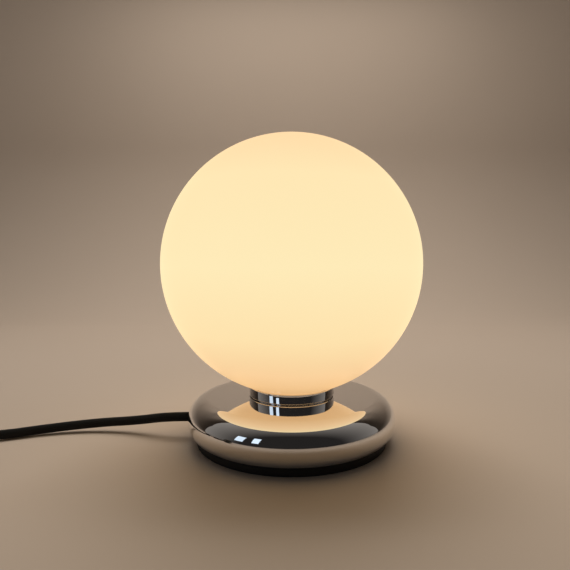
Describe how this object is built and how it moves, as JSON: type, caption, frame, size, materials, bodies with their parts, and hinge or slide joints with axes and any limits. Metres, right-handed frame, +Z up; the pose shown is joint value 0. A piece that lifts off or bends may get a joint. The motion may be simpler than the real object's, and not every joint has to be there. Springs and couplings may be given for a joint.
{
  "type": "glass globe table lamp",
  "caption": "Low table lamp: lit opal glass ball resting in a chrome collar on a round, flat-topped mirror chrome base, with a black cord.",
  "frame": {"origin": "centre of the foot ring's underside, on the table, on the lamp's vertical axis", "axes": "+Z up through the base, stem and globe; the cord leaves the base along -X, and -Y faces the viewer"},
  "size_m": [0.5037, 0.2709, 0.2365],
  "materials": {
    "opal_glass": "opal white blown glass, satin inside and glossy outside, lit from within",
    "chrome": "mirror polished chrome plate",
    "cast_iron": "rough grey casting, thin black paint",
    "zinc_steel": "bright zinc plated steel, small hardware",
    "black_rubber": "matt black moulded rubber",
    "cord_fabric": "fine black textile braid",
    "black_plastic": "black moulded plastic, fine satin texture",
    "white_plastic": "white moulded thermoplastic",
    "opal_plastic": "milky diffusing bulb envelope, lit",
    "brass": "bright stamped brass",
    "nickel": "nickel plated, rolled thread rings",
    "aluminium": "bare aluminium board",
    "led_yellow": "yellow phosphor gel",
    "core_sleeve": "coloured wire insulation, brown, blue and green with yellow"
  },
  "bodies": {
    "base": {"base_shell": "chrome", "base_weight": "cast_iron", "block_screws": "zinc_steel", "bottom_plate": "zinc_steel", "centre_contact": "brass", "clamp_screws": "zinc_steel", "collar_ring": "chrome", "cord_bush": "black_plastic", "cord_clamp_lower": "black_plastic", "cord_clamp_upper": "black_plastic", "cord_coil": "cord_fabric", "cord_cores": "core_sleeve", "cord_tail": "cord_fabric", "earth_lug": "brass", "earth_screw": "zinc_steel", "foot_ring": "black_rubber", "globe_seat_gasket": "black_rubber", "holder_body": "white_plastic", "holder_cap": "white_plastic", "holder_insert": "white_plastic", "holder_leads": "core_sleeve", "holder_terminals": "brass", "inner_cord": "cord_fabric", "lower_nut": "zinc_steel", "lower_washer": "zinc_steel", "plate_pillars": "zinc_steel", "plate_screws": "zinc_steel", "plug_body": "black_plastic", "plug_earth_clips": "brass", "plug_grip": "black_rubber", "plug_lead": "cord_fabric", "plug_pins": "nickel", "power_cord": "cord_fabric", "screw_shell": "nickel", "switch_base": "black_plastic", "switch_cover": "black_plastic", "switch_screws": "zinc_steel", "terminal_block": "white_plastic", "threaded_tube": "zinc_steel", "upper_nut": "zinc_steel", "upper_washer": "zinc_steel"},
    "globe": {"glass_globe": "opal_glass"},
    "bulb_rise_body": {"bulb_contact": "nickel"},
    "bulb": {"bulb_insulator": "black_plastic", "bulb_cap": "nickel", "bulb_housing": "white_plastic", "led_board": "aluminium", "led_chips": "led_yellow", "bulb_glass": "opal_plastic"},
    "rocker": {"switch_rocker": "black_plastic"}
  },
  "joints": [
    {"name": "globe_lift", "type": "slide", "parent": "base", "child": "globe", "axis": [0, 0, 1], "range_m": [0, 0.12]},
    {"name": "bulb_rise", "type": "slide", "parent": "base", "child": "bulb_rise_body", "axis": [0, 0, 1], "range_m": [0, 0.012]},
    {"name": "bulb_turn", "type": "hinge", "parent": "bulb_rise_body", "child": "bulb", "pos_m": [0, 0, 0.08], "axis": [0, 0, 1], "range_deg": [0, 1530]},
    {"name": "switch_rock", "type": "hinge", "parent": "base", "child": "rocker", "pos_m": [-0.3151, -0.03375, 0.0148], "axis": [-0.2082, 0.9781, 0], "range_deg": [-16, 0]}
  ],
  "couplings": [
    {"joint": "bulb_rise", "follows": "bulb_turn", "m_per_rad": 0.00044913}
  ]
}
